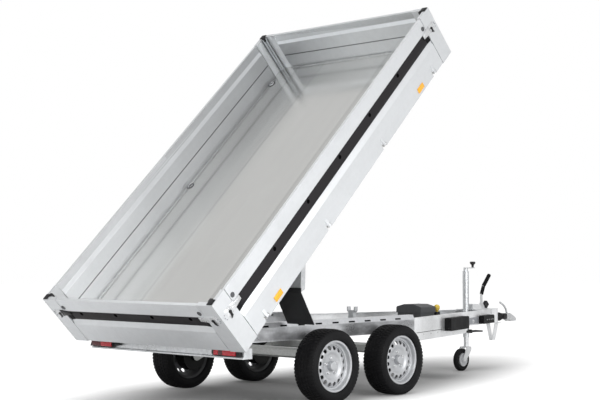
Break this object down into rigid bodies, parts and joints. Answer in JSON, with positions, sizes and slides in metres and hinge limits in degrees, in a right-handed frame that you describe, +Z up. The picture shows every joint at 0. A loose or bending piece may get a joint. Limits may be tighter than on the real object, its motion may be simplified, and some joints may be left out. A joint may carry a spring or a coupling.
{
  "type": "tandem-axle tipping trailer",
  "caption": "Tandem-axle tipping trailer with a raised steel drop-side bed, top-hung tailgate, V drawbar, ball coupling and jockey wheel.",
  "frame": {"origin": "on the ground under the middle of the whole trailer's bounding box, with the bed raised", "axes": "+X to the trailer's right, +Y forwards to the coupling, +Z up"},
  "size_m": [1.8194, 4.8155, 2.9605],
  "materials": {
    "galvanised": "hot-dip galvanised folded steel, dull grey",
    "bed_sheet": "galvanised sheet, pale grey",
    "steel": "zinc plated steel",
    "wheel_silver": "silver painted pressed steel",
    "tyre": "black tyre rubber",
    "rubber": "black rubber",
    "black_plastic": "black moulded plastic",
    "dark_plastic": "dark grey moulded plastic",
    "drum_black": "black painted steel",
    "yellow": "yellow painted metal",
    "lamp": "red lamp lens in a dark body",
    "painted_steel": "black painted steel"
  },
  "bodies": {
    "chassis": {"axle_front": "drum_black", "axle_rear": "drum_black", "coupling_head": "steel", "crossmember_cylinder": "galvanised", "crossmember_front": "galvanised", "crossmember_rear": "galvanised", "drawbar_head": "galvanised", "drawbar_left": "galvanised", "drawbar_right": "galvanised", "frame_side_left": "galvanised", "frame_side_right": "galvanised", "hand_pump": "yellow", "handbrake_lever": "black_plastic", "jockey_crank": "black_plastic", "jockey_tube": "steel", "light_bar": "galvanised", "nose_skid": "galvanised", "overrun_tube": "rubber", "pack_tray": "galvanised", "power_pack": "dark_plastic", "rear_lamp_left": "lamp", "rear_lamp_right": "lamp", "wheel_chock_front": "black_plastic", "wheel_chock_rear": "black_plastic"},
    "bed": {"bed_floor": "bed_sheet", "bed_subframe": "galvanised", "front_wall": "bed_sheet", "post_front_left": "bed_sheet", "post_front_right": "bed_sheet", "post_rear_left": "bed_sheet", "post_rear_right": "bed_sheet", "mud_guard_left": "galvanised", "mud_guard_right": "galvanised", "mud_flap_left": "rubber", "mud_flap_right": "rubber"},
    "side_left": {"side_left": "bed_sheet"},
    "side_right": {"side_right": "bed_sheet"},
    "tailgate": {"tailgate": "bed_sheet"},
    "cylinder_barrel": {"cylinder_barrel": "painted_steel"},
    "cylinder_rod": {"cylinder_rod": "steel"},
    "jockey_castor": {"jockey_leg": "steel"},
    "jockey_wheel": {"jockey_wheel": "tyre"},
    "wheel_rear_left": {"tyre_rear_left": "tyre", "rim_rear_left": "wheel_silver"},
    "wheel_rear_right": {"tyre_rear_right": "tyre", "rim_rear_right": "wheel_silver"},
    "wheel_front_left": {"tyre_front_left": "tyre", "rim_front_left": "wheel_silver"},
    "wheel_front_right": {"tyre_front_right": "tyre", "rim_front_right": "wheel_silver"}
  },
  "joints": [
    {"name": "wheel_rear_left_spin", "type": "hinge", "parent": "chassis", "child": "wheel_rear_left", "pos_m": [-0.756, -1.15828, 0.2625], "axis": [1, 0, 0], "continuous": true},
    {"name": "wheel_rear_right_spin", "type": "hinge", "parent": "chassis", "child": "wheel_rear_right", "pos_m": [0.756, -1.15828, 0.2625], "axis": [1, 0, 0], "continuous": true},
    {"name": "wheel_front_left_spin", "type": "hinge", "parent": "chassis", "child": "wheel_front_left", "pos_m": [-0.756, -0.40128, 0.2625], "axis": [1, 0, 0], "continuous": true},
    {"name": "wheel_front_right_spin", "type": "hinge", "parent": "chassis", "child": "wheel_front_right", "pos_m": [0.756, -0.40128, 0.2625], "axis": [1, 0, 0], "continuous": true},
    {"name": "bed_tip", "type": "hinge", "parent": "chassis", "child": "bed", "pos_m": [0, -1.83528, 0.569], "axis": [1, 0, 0], "range_deg": [-44.5, 0]},
    {"name": "side_left_drop", "type": "hinge", "parent": "bed", "child": "side_left", "pos_m": [-0.901, -0.98872, 1.55513], "axis": [0, -0.7133, -0.7009], "range_deg": [0, 180]},
    {"name": "side_right_drop", "type": "hinge", "parent": "bed", "child": "side_right", "pos_m": [0.901, -0.98872, 1.55513], "axis": [0, 0.7133, 0.7009], "range_deg": [0, 180]},
    {"name": "tailgate_swing", "type": "hinge", "parent": "bed", "child": "tailgate", "pos_m": [0, -2.38064, 0.71306], "axis": [-1, 0, 0], "range_deg": [0, 90]},
    {"name": "cylinder_swing", "type": "hinge", "parent": "chassis", "child": "cylinder_barrel", "pos_m": [0, -1.40828, 0.395], "axis": [1, 0, 0], "range_deg": [-54.9, 0]},
    {"name": "cylinder_slide", "type": "slide", "parent": "cylinder_barrel", "child": "cylinder_rod", "axis": [0, 0.3644, 0.9313], "range_m": [-0.315, 0]},
    {"name": "jockey_swivel", "type": "hinge", "parent": "chassis", "child": "jockey_castor", "pos_m": [0, 1.62672, 0.2], "axis": [0, 0, 1], "continuous": true},
    {"name": "jockey_wheel_spin", "type": "hinge", "parent": "jockey_castor", "child": "jockey_wheel", "pos_m": [0, 1.54672, 0.1], "axis": [1, 0, 0], "continuous": true}
  ],
  "couplings": [
    {"joint": "cylinder_swing", "follows": "bed_tip", "ratio": 1.2214},
    {"joint": "cylinder_slide", "follows": "bed_tip", "m_per_rad": 0.40429}
  ]
}
